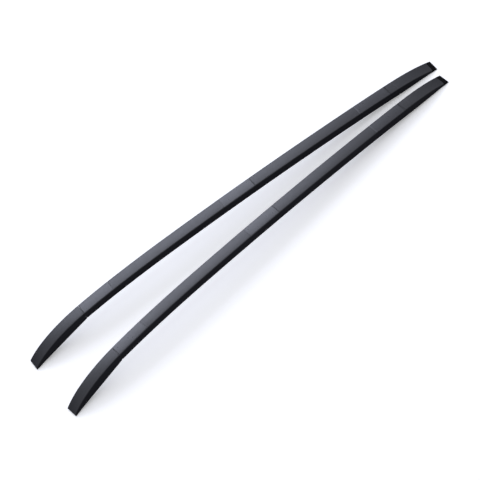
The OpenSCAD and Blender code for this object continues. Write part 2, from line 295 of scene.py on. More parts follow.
def recalculate(mesh: bpy.types.Mesh) -> None:
    """Merges doubles and points the faces outwards.

    Args:
        mesh: mesh that is changed in place.
    """
    bm = bmesh.new()
    bm.from_mesh(mesh)
    bmesh.ops.remove_doubles(bm, verts=bm.verts, dist=SMALLEST)
    bmesh.ops.recalc_face_normals(bm, faces=bm.faces)
    bm.to_mesh(mesh)
    bm.free()


def mesh_from(bm: bmesh.types.BMesh, name: str) -> bpy.types.Mesh:
    """Turns an edited mesh into a mesh of its own.

    Args:
        bm: edited mesh, which is freed.
        name: name of the new mesh.

    Returns:
        The new mesh.
    """
    mesh = bpy.data.meshes.new(name)
    bm.to_mesh(mesh)
    bm.free()
    return mesh


def drop_slivers(mesh: bpy.types.Mesh) -> None:
    """Takes out edges with no length and faces with no area, and shuts what that opens.

    Args:
        mesh: mesh that is changed in place.
    """
    bm = bmesh.new()
    bm.from_mesh(mesh)
    bmesh.ops.dissolve_degenerate(bm, dist=SMALLEST, edges=bm.edges)
    bmesh.ops.holes_fill(bm, edges=bm.edges, sides=GAP_SIDES)
    bm.to_mesh(mesh)
    bm.free()


def linked(name: str, data: bpy.types.ID) -> bpy.types.Object:
    """Makes an object and links it to the scene.

    Args:
        name: name of the object.
        data: its mesh, curve, lamp or camera.

    Returns:
        The object.
    """
    obj = bpy.data.objects.new(name, data)
    bpy.context.scene.collection.objects.link(obj)
    return obj


def evaluated_mesh(obj: bpy.types.Object) -> bpy.types.Mesh:
    """Takes the mesh that an object's modifiers give.

    Args:
        obj: object with its modifiers, which is removed.

    Returns:
        The plain mesh.
    """
    bpy.context.view_layer.update()
    graph = bpy.context.evaluated_depsgraph_get()
    mesh = bpy.data.meshes.new_from_object(obj.evaluated_get(graph))
    bpy.data.objects.remove(obj)
    return mesh


def combined(mesh: bpy.types.Mesh, cutters: list[bpy.types.Mesh], operation: str) -> bpy.types.Mesh:
    """Combines a closed mesh with others, one after another.

    Args:
        mesh: closed mesh that is cut.
        cutters: closed meshes that cut it.
        operation: DIFFERENCE or INTERSECT.

    Returns:
        The new mesh.
    """
    body = linked("body", mesh)
    helpers = [linked(f"cutter_{k}", c) for k, c in enumerate(cutters)]
    for helper in helpers:
        modifier = body.modifiers.new(helper.name, "BOOLEAN")
        modifier.operation = operation
        modifier.solver = "MANIFOLD"
        modifier.object = helper
    result = evaluated_mesh(body)
    for helper in helpers:
        bpy.data.objects.remove(helper)
    return result


def softened(mesh: bpy.types.Mesh, width: float, sharper_than: float = 35.0) -> bpy.types.Mesh:
    """Rounds the sharp edges of a mesh.

    Args:
        mesh: closed mesh.
        width: width of the rounding.
        sharper_than: least angle of an edge that is rounded, in degrees.

    Returns:
        The new mesh.
    """
    body = linked("body", mesh)
    modifier = body.modifiers.new("soften", "BEVEL")
    modifier.width = width
    modifier.segments = SOFT_STEPS
    modifier.limit_method = "ANGLE"
    modifier.angle_limit = math.radians(sharper_than)
    return evaluated_mesh(body)


def slab(outline: Outline, width: float) -> bpy.types.Mesh:
    """Returns a closed slab with a side view outline, centred across the bar.

    Args:
        outline: corners as (x, z).
        width: width of the slab across the bar.

    Returns:
        The closed mesh.
    """
    bm = bmesh.new()
    near = [bm.verts.new((p[0], -width / 2, p[1])) for p in outline]
    face = bm.faces.new(near)
    moved = bmesh.ops.extrude_face_region(bm, geom=[face])["geom"]
    verts = [g for g in moved if isinstance(g, bmesh.types.BMVert)]
    bmesh.ops.translate(bm, verts=verts, vec=(0, width, 0))
    mesh = mesh_from(bm, "slab")
    recalculate(mesh)
    return mesh


def cylinder(
    radius: float, length: float, place: Matrix, segments: int, name: str
) -> bpy.types.Mesh:
    """Returns a closed cylinder.

    Args:
        radius: radius of the cylinder.
        length: length along its own Z axis.
        place: matrix that puts it in place.
        segments: number of flats around it.
        name: name of the mesh.

    Returns:
        The closed mesh.
    """
    bm = bmesh.new()
    bmesh.ops.create_cone(
        bm, cap_ends=True, segments=segments, radius1=radius, radius2=radius, depth=length,
        matrix=place)
    return mesh_from(bm, name)


def drill(line: TopLine, s: float, depth: float, diameter: float, length: float) -> bpy.types.Mesh:
    """Returns a round cutter square to the top line.

    Args:
        line: top line of the bar.
        s: station of the hole.
        depth: depth of the cutter's middle below the top.
        diameter: diameter of the hole.
        length: length of the cutter.

    Returns:
        The closed mesh.
    """
    centre = line.point(s, depth)
    lean = Matrix.Rotation(-math.radians(line.slope(s)), 4, "Y")
    place = Matrix.Translation((centre.x, 0, centre.y)) @ lean
    mesh = cylinder(diameter / 2, length, place, HOLE_SEGMENTS, "drill")
    recalculate(mesh)
    return mesh


def joined(meshes: list[bpy.types.Mesh]) -> bpy.types.Mesh:
    """Puts meshes together.

    Args:
        meshes: closed meshes.

    Returns:
        One mesh that holds them all.
    """
    bm = bmesh.new()
    for mesh in meshes:
        bm.from_mesh(mesh)
    return mesh_from(bm, "joined")


# Tools for node trees


def wire(
    tree: bpy.types.NodeTree, *pairs: tuple[bpy.types.NodeSocket, bpy.types.NodeSocket]
) -> None:
    """Links sockets of a tree, each pair from an output to an input."""
    for source, target in pairs:
        tree.links.new(source, target)


def feed(node: bpy.types.Node, values: dict[str, float | tuple[float, ...]]) -> None:
    """Sets inputs of a node by their names."""
    for name, value in values.items():
        node.inputs[name].default_value = value


# Sections, as (depth, across)


def crowned_loop(sizes: BarSizes, inset: float, top: float, bottom: float) -> Outline:
    """Returns a closed section with a crowned top and round upper edges.

    Args:
        sizes: sizes of the bar.
        inset: distance of the section's sides from the sides of the bar.
        top: depth of the middle of the top.
        bottom: depth of the flat bottom.

    Returns:
        Corners as (depth, across).
    """
    radius = max(sizes.edge_r - inset / 2, sizes.least_edge_r)
    edge_y = sizes.width / 2 - inset - radius
    fan = math.asin(edge_y / (sizes.crown_r - radius))
    edge_x = (sizes.crown_r - radius) * math.cos(fan) - sizes.crown_r
    half: Outline = []
    for k in range(CROWN_STEPS + 1):
        a = fan * k / CROWN_STEPS
        half.append((top + sizes.crown_r * (1 - math.cos(a)), sizes.crown_r * math.sin(a)))
    for k in range(1, EDGE_STEPS + 1):
        a = fan + (math.pi / 2 - fan) * k / EDGE_STEPS
        half.append((top - edge_x - radius * math.cos(a), edge_y + radius * math.sin(a)))
    half.append((bottom, half[-1][1]))
    return half + [(d, -y) for d, y in reversed(half[1:])]


def strip_loop(top: float, bottom: float, half: float) -> Outline:
    """Returns a rectangle between two depths, half its width to each side."""
    return [(top, -half), (top, half), (bottom, half), (bottom, -half)]


class SectionSweep:
    """Geometry Nodes tree that draws a section along the top line between two stations."""

    def __init__(self, line: TopLine, end: float) -> None:
        """Builds the tree and the curve of the top line.

        Args:
            line: top line of a bar.
            end: last station of the curve.
        """
        self.lead = line.lead
        self.line_object = linked("top_line", self._curve(
            "top_line", [(p.x, 0, p.y) for p in (line.point(s) for s in line.samples(end))], False))
        self.line_object.data.twist_mode = "Z_UP"
        self.tree = self._build()
        self.sockets = {
            item.name: item.identifier
            for item in self.tree.interface.items_tree
            if item.item_type == "SOCKET" and item.in_out == "INPUT"
        }

    @staticmethod
    def _curve(name: str, points: list[tuple[float, float, float]], cyclic: bool) -> bpy.types.Curve:
        """Makes a poly curve.

        Args:
            name: name of the curve.
            points: points along it.
            cyclic: whether it closes on itself.

        Returns:
            The curve.
        """
        curve = bpy.data.curves.new(name, "CURVE")
        curve.dimensions = "3D"
        spline = curve.splines.new("POLY")
        spline.points.add(len(points) - 1)
        for target, p in zip(spline.points, points):
            target.co = (*p, 1.0)
        spline.use_cyclic_u = cyclic
        return curve

    @staticmethod
    def _build() -> bpy.types.NodeTree:
        """Builds the tree: trimmed line, section along it, shut ends, material.

        Returns:
            The tree with its named inputs.
        """
        tree = bpy.data.node_groups.new("section_along_top_line", "GeometryNodeTree")
        inputs = (
            ("Top Line", "Object"), ("Section", "Object"), ("From", "Float"), ("To", "Float"),
            ("Material", "Material"),
        )
        for name, kind in inputs:
            tree.interface.new_socket(name, in_out="INPUT", socket_type=f"NodeSocket{kind}")
        tree.interface.new_socket("Geometry", in_out="OUTPUT", socket_type="NodeSocketGeometry")
        make = tree.nodes.new
        given = make("NodeGroupInput")
        result = make("NodeGroupOutput")
        line = make("GeometryNodeObjectInfo")
        section = make("GeometryNodeObjectInfo")
        trim = make("GeometryNodeTrimCurve")
        trim.mode = "LENGTH"
        sweep = make("GeometryNodeCurveToMesh")
        feed(sweep, {"Fill Caps": True})
        smooth = make("GeometryNodeSetShadeSmooth")
        realize = make("GeometryNodeRealizeInstances")
        dress = make("GeometryNodeSetMaterial")
        first, last = (
            [s for s in trim.inputs if s.name == name and s.type == "VALUE"][-1]
            for name in ("Start", "End")
        )
        wire(
            tree,
            (given.outputs["Top Line"], line.inputs["Object"]),
            (given.outputs["Section"], section.inputs["Object"]),
            (line.outputs["Geometry"], trim.inputs["Curve"]),
            (given.outputs["From"], first),
            (given.outputs["To"], last),
            (trim.outputs["Curve"], sweep.inputs["Curve"]),
            (section.outputs["Geometry"], sweep.inputs["Profile Curve"]),
            (sweep.outputs["Mesh"], smooth.inputs["Geometry"]),
            (smooth.outputs["Geometry"], realize.inputs["Geometry"]),
            (realize.outputs["Geometry"], dress.inputs["Geometry"]),
            (given.outputs["Material"], dress.inputs["Material"]),
            (dress.outputs["Geometry"], result.inputs["Geometry"]),
        )
        return tree

    def draw(
        self, section: Outline, start: float, end: float, material: bpy.types.Material
    ) -> bpy.types.Mesh:
        """Sweeps a closed section.

        Args:
            section: corners as (depth, across).
            start: first station.
            end: last station.
            material: finish of the piece.

        Returns:
            The closed mesh in the bar's own frame.
        """
        corners = [(y, d, 0) for d, y in section]
        profile = linked("section", self._curve("section", corners, True))
        host = linked("sweep", bpy.data.meshes.new("sweep"))
        modifier = host.modifiers.new("sweep", "NODES")
        modifier.node_group = self.tree
        modifier[self.sockets["Top Line"]] = self.line_object
        modifier[self.sockets["Section"]] = profile
        modifier[self.sockets["From"]] = start + self.lead
        modifier[self.sockets["To"]] = end + self.lead
        modifier[self.sockets["Material"]] = material
        mesh = evaluated_mesh(host)
        bpy.data.objects.remove(profile)
        recalculate(mesh)
        return mesh

    def close(self) -> None:
        """Removes the curve that the tree was fed with."""
        bpy.data.objects.remove(self.line_object)


# Finishes


def surface_group(
    name: str, kind: str, *extra: tuple[str, str]
) -> tuple[bpy.types.NodeTree, bpy.types.Node, bpy.types.Node]:
    """Starts a shader node group with a vector and a scale.

    Args:
        name: name of the group.
        kind: kind of its output, Float or Color.
        extra: name and kind of each further input.

    Returns:
        The group, the node that gives its inputs and the node that takes its result.
    """
    group = bpy.data.node_groups.new(name, "ShaderNodeTree")
    for label, sort in (("Place", "Vector"), ("Scale", "Float"), *extra):
        group.interface.new_socket(label, in_out="INPUT", socket_type=f"NodeSocket{sort}")
    group.interface.new_socket("Result", in_out="OUTPUT", socket_type=f"NodeSocket{kind}")
    return group, group.nodes.new("NodeGroupInput"), group.nodes.new("NodeGroupOutput")


class SurfaceGroups:
    """Shader node groups that the finishes share."""

    mottle_detail = 4
    grain_detail = 3
    gloss_detail = 5
    gloss_from = 0.3
    gloss_to = 0.7

    def __init__(self) -> None:
        """Builds each group once."""
        self.mottle = self._mottle()
        self.grain = self._grain()
        self.gloss = self._gloss()

    def _mottle(self) -> bpy.types.NodeTree:
        """Builds the group that mixes two tones in soft patches.

        Returns:
            The group.
        """
        group, given, result = surface_group(
            "soft_mottle", "Color", ("Tone", "Color"), ("Other Tone", "Color"))
        noise = group.nodes.new("ShaderNodeTexNoise")
        feed(noise, {"Detail": self.mottle_detail})
        mix = group.nodes.new("ShaderNodeMix")
        mix.data_type = "RGBA"
        wire(
            group,
            (given.outputs["Place"], noise.inputs["Vector"]),
            (given.outputs["Scale"], noise.inputs["Scale"]),
            (noise.outputs["Fac"], mix.inputs["Factor"]),
            (given.outputs["Tone"], mix.inputs["A"]),
            (given.outputs["Other Tone"], mix.inputs["B"]),
            (mix.outputs["Result"], result.inputs["Result"]),
        )
        return group

    def _grain(self) -> bpy.types.NodeTree:
        """Builds the group that gives the height of a fine, even grain.

        Returns:
            The group.
        """
        group, given, result = surface_group("fine_grain", "Float", ("Cells", "Float"))
        cells = group.nodes.new("ShaderNodeTexVoronoi")
        cells.feature = "SMOOTH_F1"
        noise = group.nodes.new("ShaderNodeTexNoise")
        feed(noise, {"Detail": self.grain_detail})
        mix = group.nodes.new("ShaderNodeMix")
        wire(
            group,
            (given.outputs["Place"], cells.inputs["Vector"]),
            (given.outputs["Scale"], cells.inputs["Scale"]),
            (given.outputs["Place"], noise.inputs["Vector"]),
            (given.outputs["Scale"], noise.inputs["Scale"]),
            (given.outputs["Cells"], mix.inputs["Factor"]),
            (noise.outputs["Fac"], mix.inputs["A"]),
            (cells.outputs["Distance"], mix.inputs["B"]),
            (mix.outputs["Result"], result.inputs["Result"]),
        )
        return group

    def _gloss(self) -> bpy.types.NodeTree:
        """Builds the group that varies the roughness between two values.

        Returns:
            The group.
        """
        group, given, result = surface_group(
            "uneven_gloss", "Float", ("Smoothest", "Float"), ("Roughest", "Float"))
        noise = group.nodes.new("ShaderNodeTexNoise")
        feed(noise, {"Detail": self.gloss_detail})
        ranged = group.nodes.new("ShaderNodeMapRange")
        feed(ranged, {"From Min": self.gloss_from, "From Max": self.gloss_to})
        wire(
            group,
            (given.outputs["Place"], noise.inputs["Vector"]),
            (given.outputs["Scale"], noise.inputs["Scale"]),
            (noise.outputs["Fac"], ranged.inputs["Value"]),
            (given.outputs["Smoothest"], ranged.inputs["To Min"]),
            (given.outputs["Roughest"], ranged.inputs["To Max"]),
            (ranged.outputs["Result"], result.inputs["Result"]),
        )
        return group


@dataclass(frozen=True)
class Finish:
    """Procedural finish of one kind of piece.

    Colours are linear. Scales are patterns per metre and the relief is in metres.
    """

    name: str
    slot: str
    tone: tuple[float, float, float]
    other_tone: tuple[float, float, float]
    mottle_scale: float
    smoothest: float
    roughest: float
    gloss_scale: float
    grain_scale: float
    cells: float
    relief: float
    relief_strength: float
    metallic: float = 0.0
    specular: float = 0.5
    stretch: tuple[float, float, float] = (1.0, 1.0, 1.0)

    def material(self, groups: SurfaceGroups) -> bpy.types.Material:
        """Builds the material.

        Args:
            groups: shared shader node groups.

        Returns:
            The material.
        """
        made = bpy.data.materials.new(self.name)
        made.use_nodes = True
        tree = made.node_tree
        shader = tree.nodes["Principled BSDF"]
        feed(shader, {"Metallic": self.metallic, "Specular IOR Level": self.specular})
        place = tree.nodes.new("ShaderNodeTexCoord")
        mapping = tree.nodes.new("ShaderNodeMapping")
        feed(mapping, {"Scale": self.stretch})
        mottle = self._group(tree, groups.mottle, mapping, {
            "Scale": self.mottle_scale, "Tone": (*self.tone, 1),
            "Other Tone": (*self.other_tone, 1)})
        gloss = self._group(tree, groups.gloss, mapping, {
            "Scale": self.gloss_scale, "Smoothest": self.smoothest, "Roughest": self.roughest})
        grain = self._group(tree, groups.grain, mapping, {
            "Scale": self.grain_scale, "Cells": self.cells})
        bump = tree.nodes.new("ShaderNodeBump")
        feed(bump, {"Strength": self.relief_strength, "Distance": self.relief})
        wire(
            tree,
            (place.outputs["Object"], mapping.inputs["Vector"]),
            (mottle.outputs["Result"], shader.inputs["Base Color"]),
            (gloss.outputs["Result"], shader.inputs["Roughness"]),
            (grain.outputs["Result"], bump.inputs["Height"]),
            (bump.outputs["Normal"], shader.inputs["Normal"]),
        )
        return made

    @staticmethod
    def _group(
        tree: bpy.types.NodeTree, group: bpy.types.NodeTree, mapping: bpy.types.Node,
        values: dict[str, float | tuple[float, ...]],
    ) -> bpy.types.Node:
        """Places a group in a material and feeds it.

        Args:
            tree: node tree of the material.
            group: shared group.
            mapping: node that gives the vector.
            values: inputs of the group by name.

        Returns:
            The placed node.
        """
        node = tree.nodes.new("ShaderNodeGroup")
        node.node_tree = group
        wire(tree, (mapping.outputs["Vector"], node.inputs["Place"]))
        feed(node, values)
        return node


COVER_FINISH = Finish(
    "smooth_moulding", "moulding", (0.018, 0.0185, 0.0235), (0.022, 0.0225, 0.0280),
    mottle_scale=18, smoothest=0.27, roughest=0.31, gloss_scale=90, grain_scale=1900,
    cells=0.7, relief=0.00008, relief_strength=0.40, specular=0.56)

FINISHES = (
    Finish(
        "satin_coat", "coat", (0.016, 0.0165, 0.0200), (0.020, 0.0205, 0.0250),
        mottle_scale=14, smoothest=0.29, roughest=0.34, gloss_scale=60, grain_scale=1100,
        cells=0.25, relief=0.00008, relief_strength=0.35),
    Finish(
        "grained_moulding", "moulding", (0.017, 0.0175, 0.0212), (0.021, 0.0215, 0.0262),
        mottle_scale=18, smoothest=0.31, roughest=0.36, gloss_scale=90, grain_scale=1900,
        cells=0.7, relief=0.00010, relief_strength=0.45),
    # Rubber of the gasket and pads, with its tone pushed near black, darker than real rubber, so it
    # also paints shade on the nose sheet and along the base
    Finish(
        "matt_rubber", "rubber", (0.002, 0.002, 0.0023), (0.005, 0.005, 0.0056),
        mottle_scale=40, smoothest=0.62, roughest=0.78, gloss_scale=120, grain_scale=900,
        cells=0.5, relief=0.00015, relief_strength=0.5, specular=0.08),
    Finish(
        "plated_steel", "zinc", (0.52, 0.53, 0.56), (0.66, 0.66, 0.66),
        mottle_scale=120, smoothest=0.28, roughest=0.45, gloss_scale=260, grain_scale=500,
        cells=0.2, relief=0.00003, relief_strength=0.3, metallic=1.0, stretch=(1.0, 6.0, 1.0)),
)


@dataclass
class Workshop:
    """What every piece is made with. The covers have a finish of their own."""

    sizes: BarSizes
    layout: PairLayout
    sweep: SectionSweep
    materials: dict[str, bpy.types.Material]
    covers: bpy.types.Material

    def place(self, mesh: bpy.types.Mesh, side: Side, node: str, slot: str) -> bpy.types.Object:
        """Puts a finished mesh on its bar.

        Args:
            mesh: mesh in the bar's own frame.
            side: bar that the piece belongs to.
            node: name of the piece without its side.
            slot: material slot of the record.

        Returns:
            The finished piece.
        """
        copy = mesh.copy()
        drop_slivers(copy)
        copy.transform(self.layout.matrix(side))
        copy.materials.clear()
        is_cover = node.endswith("_cover")
        copy.materials.append(self.covers if is_cover else self.materials[slot])
        copy.shade_smooth()
        copy.set_sharp_from_angle(angle=math.radians(SHARP_FROM))
        name = f"dressed_{side.prefix}{node}"
        copy.name = name
        piece = linked(name, copy)
        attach(piece, "root")
        log.info("%s: %d faces", name, len(copy.polygons))
        return piece


# Pieces of a bar


@dataclass
class Rail:
    """Bent rail with three open pockets in its top, hollow only below them."""

    shop: Workshop
    pocket_lead: float = 1 * MM
    chamber_reach: float = 3 * MM
    clear_above: float = 20 * MM
    break_in: float = 1 * MM

    def mesh(self) -> bpy.types.Mesh:
        """Builds the rail: the outer form less its pockets, chambers and web holes.

        Returns:
            The closed mesh in the bar's own frame.
        """
        z = self.shop.sizes
        draw = self.shop.sweep.draw
        coat = self.shop.materials["coat"]
        body = draw(crowned_loop(z, z.skin, z.skin, z.height), z.foot_len, z.rail_end, coat)
        cutters = []
        for s in z.points:
            lead = self.pocket_lead if s == z.points[0] else 0
            first, last = s - z.cover_len / 2 - lead, s + z.cover_len / 2
            reach = self.chamber_reach
            cutters += [
                draw(strip_loop(-self.clear_above, z.cover_depth, z.width), first, last, coat),
                draw(self._chamber(), first - reach, last + reach, coat),
                drill(z.line, s, z.height, z.web_hole_d, 3 * z.web_t),
            ]
        return combined(body, cutters, "DIFFERENCE")

    def _chamber(self) -> Outline:
        """Draws the inner section below a cover, with its two ledges.

        Returns:
            Corners as (depth, across).
        """
        z = self.shop.sizes
        half = z.inner_w / 2
        lip = half - z.ledge_w
        ledge_end = z.ledge_depth + z.ledge_t
        right = [
            (z.cover_depth - self.break_in, half), (z.ledge_depth, half), (z.ledge_depth, lip),
            (ledge_end, lip), (ledge_end, half), (z.height - z.web_t, half),
        ]
        return right + [(d, -y) for d, y in reversed(right)]


@dataclass
class Cover:
    """Saddle that closes a pocket, flush with the top of the rail."""

    shop: Workshop
    wall: float = 2.2 * MM
    seat_line: float = 0.25 * MM
    rounding: float = 0.4 * MM
    leg_len: float = 10 * MM
    leg_t: float = 1.8 * MM
    leg_offset: float = 46 * MM
    hook_h: float = 2 * MM
    hook_reach: float = 1.2 * MM

    def mesh(self, s: float) -> bpy.types.Mesh:
        """Builds a cover with its snap legs.

        Args:
            s: station of the fixing point below it.

        Returns:
            The closed mesh in the bar's own frame.
        """
        z = self.shop.sizes
        draw = self.shop.sweep.draw
        finish = self.shop.materials["moulding"]
        first = s - z.cover_len / 2 + z.joint_gap
        last = s + z.cover_len / 2 - z.joint_gap
        outer = crowned_loop(z, z.skin, z.skin, z.cover_depth - self.seat_line)
        skin = softened(draw(outer, first, last, finish), self.rounding)
        inner = crowned_loop(z, self.wall, self.wall, z.height)
        hollow = draw(inner, first + self.wall, last - self.wall, finish)
        shell = combined(skin, [hollow], "DIFFERENCE")
        legs = [draw(leg, a, a + self.leg_len, finish) for leg, a in self._legs(s)]
        return joined([shell] + legs)

    def _legs(self, s: float) -> list[tuple[Outline, float]]:
        """Draws the snap legs of a cover.

        Args:
            s: station of the fixing point.

        Returns:
            The section and the first station of each leg.
        """
        z = self.shop.sizes
        hook_end = z.ledge_depth + z.ledge_t + z.fit_gap + self.hook_h
        hook_top = hook_end - self.hook_h
        y = z.inner_w / 2 - z.ledge_w - z.fit_gap
        right = [
            (self.wall, y - self.leg_t), (self.wall, y), (hook_top, y),
            (hook_top, y + self.hook_reach), (hook_end, y), (hook_end, y - self.leg_t),
        ]
        left = [(d, -y) for d, y in right]
        starts = [s + k * self.leg_offset - self.leg_len / 2 for k in (-1, 1)]
        return [(leg, start) for leg in (right, left) for start in starts]


@dataclass
class MouldedEnd:
    """What the front foot and the rear cap share: a wall, ribs and a recess for the pad."""

    shop: Workshop
    wall: float = 3 * MM
    rib_t: float = 2 * MM
    rib_pitch: float = 34 * MM
    rib_count: int = 5
    pad_setback: float = 26 * MM
    pad_seat_len: float = 4 * MM
    rounding: float = 0.5 * MM
    reach: float = 80 * MM

    def recess(self, start: Vector, end: Vector, up: Vector) -> bpy.types.Mesh:
        """Returns the cutter of the pad's recess.

        Args:
            start: front end of the recess on the base line.
            end: rear end of the recess on the base line.
            up: direction from the base line into the piece.

        Returns:
            The closed mesh, which starts below the base line.
        """
        z = self.shop.sizes
        low, high = -z.overcut * up, z.gasket_t * up
        corners = [start + low, end + low, end + high, start + high]
        return slab(corners, z.width + 2 * z.overcut)

    def hollow(self, start: float, end: float, outline: Outline, first_rib: float) -> bpy.types.Mesh:
        """Builds the space inside an end piece.

        Args:
            start: first station of the space.
            end: last station of the space.
            outline: side view of the region that holds the space.
            first_rib: place of the first cross rib along the bar.

        Returns:
            The closed mesh of the space, without its ribs.
        """
        z = self.shop.sizes
        inner = crowned_loop(z, self.wall, self.wall, self.reach / 2)
        space = self.shop.sweep.draw(inner, start, end, self.shop.materials["moulding"])
        space = combined(space, [slab(outline, z.width)], "INTERSECT")
        r = self.reach
        far = z.rear_base.x + r
        ribs = [slab([(-r, -r), (far, -r), (far, 2 * r), (-r, 2 * r)], self.rib_t)]
        for k in range(self.rib_count):
            x = first_rib + k * self.rib_pitch
            end_x = x + self.rib_t
            ribs.append(slab([(x, -r), (end_x, -r), (end_x, 2 * r), (x, 2 * r)], 2 * z.width))
        return combined(space, ribs, "DIFFERENCE")


@dataclass
class FrontFoot(MouldedEnd):
    """Long moulded foot with a straight base and a blunt tip."""

    def mesh(self) -> bpy.types.Mesh:
        """Builds the foot: a rounded form less its recess and inner space.

        Returns:
            The closed mesh in the bar's own frame.
        """
        z = self.shop.sizes
        r = self.reach
        edge = z.foot_len - z.seam_gap
        along = z.foot_base.normalized()
        up = Vector((-along.y, along.x))
        far = z.foot_base + r / 4 * along
        outer = self.shop.sweep.draw(
            crowned_loop(z, z.skin, z.skin, r), -z.line.lead, edge,
            self.shop.materials["moulding"])
        side = [(0, 0), far, far + Vector((0, r)), (0, 2 * r)]
        body = combined(outer, [slab(side, z.width + 2 * z.overcut)], "INTERSECT")
        body = softened(body, self.rounding)
        start = self.pad_setback * along
        recess = self.recess(start, far, up)
        a = start + self.pad_seat_len * along
        region = [a, far, far + Vector((0, r)), a + Vector((0, r))]
        space = self.hollow(0, edge - self.wall, region, start.x + self.rib_pitch)
        return combined(body, [recess, space], "DIFFERENCE")


@dataclass
class RearCap(MouldedEnd):
    """Short moulded cap that runs out in a bevelled nose."""

    corner_len: float = 21 * MM
    soft_from: float = 16.0

    def mesh(self) -> bpy.types.Mesh:
        """Builds the cap: a bevelled, rounded form less its recess and inner space.

        Returns:
            The closed mesh in the bar's own frame.
        """
        z = self.shop.sizes
        r = self.reach
        edge = z.rail_end + z.seam_gap
        along = (z.rear_base - z.cap_base).normalized()
        up = Vector((-along.y, along.x))
        far = z.cap_base - r / 4 * along
        outer = self.shop.sweep.draw(
            crowned_loop(z, z.skin, z.skin, r), edge, z.line_end + z.nose_len + z.line.lead,
            self.shop.materials["moulding"])
        over_tip = z.rear_base + Vector((0, r))
        side = [far, z.rear_base, over_tip, far + Vector((0, 2 * r))]
        body = combined(outer, [slab(side, z.width + 2 * z.overcut)], "INTERSECT")
        body = combined(body, self.bevels(0), "DIFFERENCE")
        body = softened(body, self.rounding, self.soft_from)
        end = z.rear_base - self.pad_setback * along
        recess = self.recess(far, end, up)
        b = end - self.pad_seat_len * along
        region = [far, b, b + Vector((0, r)), far + Vector((0, r))]
        first_rib = z.cap_base.x + self.rib_pitch
        space = self.hollow(edge + self.wall, z.line_end + z.nose_len, region, first_rib)
        return combined(body, [recess, space], "DIFFERENCE")

    def bevels(self, lift: float) -> list[bpy.types.Mesh]:
        """Makes what is cut off above the three bevels of the nose.

        Args:
            lift: height by which the bevels are raised.

        Returns:
            One cutter for each bevel.
        """
        cutters = [self._bevel()] + [self._corner(k) for k in (-1, 1)]
        for cutter in cutters:
            cutter.transform(Matrix.Translation((0, 0, lift)))
        return cutters

    def _bevel(self) -> bpy.types.Mesh:
        """Makes what is cut off above the bevel of the nose.

        Returns:
            The cutter.
        """
        z = self.shop.sizes
        top = z.line.point(z.line_end)
        along = (z.bevel_end - top).normalized()
        a, b = top - z.line.lead * along, z.bevel_end + self.reach * along
        lift = Vector((0, self.reach))
        return slab([a, b, b + lift, a + lift], z.width + 2 * z.overcut)

    def _corner(self, side: int) -> bpy.types.Mesh:
        """Makes what is cut off above the bevel of one corner.

        Args:
            side: +1 or -1, the side of the bar.

        Returns:
            The cutter.
        """
        z = self.shop.sizes
        fall = math.atan2(z.nose_fall, self.corner_len * math.cos(math.pi / 4))
        bm = bmesh.new()
        raised = Matrix.Translation((0, 0, self.reach / 2))
        bmesh.ops.create_cube(bm, size=self.reach, matrix=raised)
        mesh = mesh_from(bm, "corner")
        mesh.transform(
            Matrix.Translation((z.bevel_end.x, side * z.width / 2, z.bevel_end.y))
            @ Matrix.Rotation(side * math.pi / 4, 4, "Z")
            @ Matrix.Rotation(fall, 4, "Y")
        )
        return mesh


@dataclass
class NoseSeal(RearCap):
    """Thin near-black sheet over the bevelled nose: painted shade, standing in for the shade that
    the nose lies in.
    """

    lift: float = 0.35 * MM
    bond: float = 0.3 * MM
    stand_out: float = 0.1 * MM
    edge_len: float = 17 * MM
    bow: float = 2 * MM
    segments: int = 256

    def mesh(self) -> bpy.types.Mesh:
        """Builds the dark painted-shade sheet between two copies of the nose, one larger and one
        smaller.

        Returns:
            The closed mesh in the bar's own frame.
        """
        z = self.shop.sizes
        begin = z.line_end + z.nose_len - self.edge_len
        end = z.rear_base.x - 2 * z.skin
        low = z.rear_base.y + z.overcut
        start = end - self.reach
        high = low + self.reach
        room = slab([(start, low), (end, low), (end, high), (start, high)], 2 * z.width)
        outer = combined(self._nose(-self.stand_out, self.lift, begin), [room], "INTERSECT")
        inner = self._nose(self.bond, -self.bond, begin - z.overcut)
        return combined(outer, [inner, self._window(begin)], "DIFFERENCE")

    def _nose(self, inset: float, lift: float, begin: float) -> bpy.types.Mesh:
        """Makes a copy of the nose.

        Args:
            inset: distance of its sides inside the sides of the bar.
            lift: height by which its bevels are raised.
            begin: first station.

        Returns:
            The closed mesh.
        """
        z = self.shop.sizes
        body = self.shop.sweep.draw(
            crowned_loop(z, inset, inset, self.reach), begin,
            z.line_end + z.nose_len + z.line.lead, self.shop.materials["rubber"])
        return combined(body, self.bevels(lift), "DIFFERENCE")

    def _window(self, begin: float) -> bpy.types.Mesh:
        """Makes the round plate that gives the painted-shade sheet its bowed edge on the top face.

        Args:
            begin: station where that edge meets the sides.

        Returns:
            The closed mesh.
        """
        z = self.shop.sizes
        half = z.width / 2 + self.stand_out
        radius = (half ** 2 + self.bow ** 2) / (2 * self.bow)
        x = z.line.point(begin).x + self.bow - radius
        place = Matrix.Translation((x, 0, z.rear_base.y))
        return cylinder(radius, 2 * self.reach, place, self.segments, "window")


@dataclass
class BaseGasket:
    """Rubber strip under the rail, with round edges."""

    shop: Workshop
    inset: float = 1 * MM
    seat: float = 0.05 * MM
    rounding: float = 0.6 * MM

    def mesh(self) -> bpy.types.Mesh:
        """Builds the strip with its three bolt holes.

        Returns:
            The closed mesh in the bar's own frame.
        """
        z = self.shop.sizes
        half = z.width / 2 - self.inset
        body = self.shop.sweep.draw(
            strip_loop(z.height + self.seat, z.height + z.gasket_t, half),
            z.foot_len + z.seam_gap, z.rail_end - z.seam_gap, self.shop.materials["rubber"])
        bottom = z.height + z.gasket_t
        holes = [drill(z.line, s, bottom, z.web_hole_d, 4 * z.gasket_t) for s in z.points]
        return softened(combined(body, holes, "DIFFERENCE"), self.rounding)


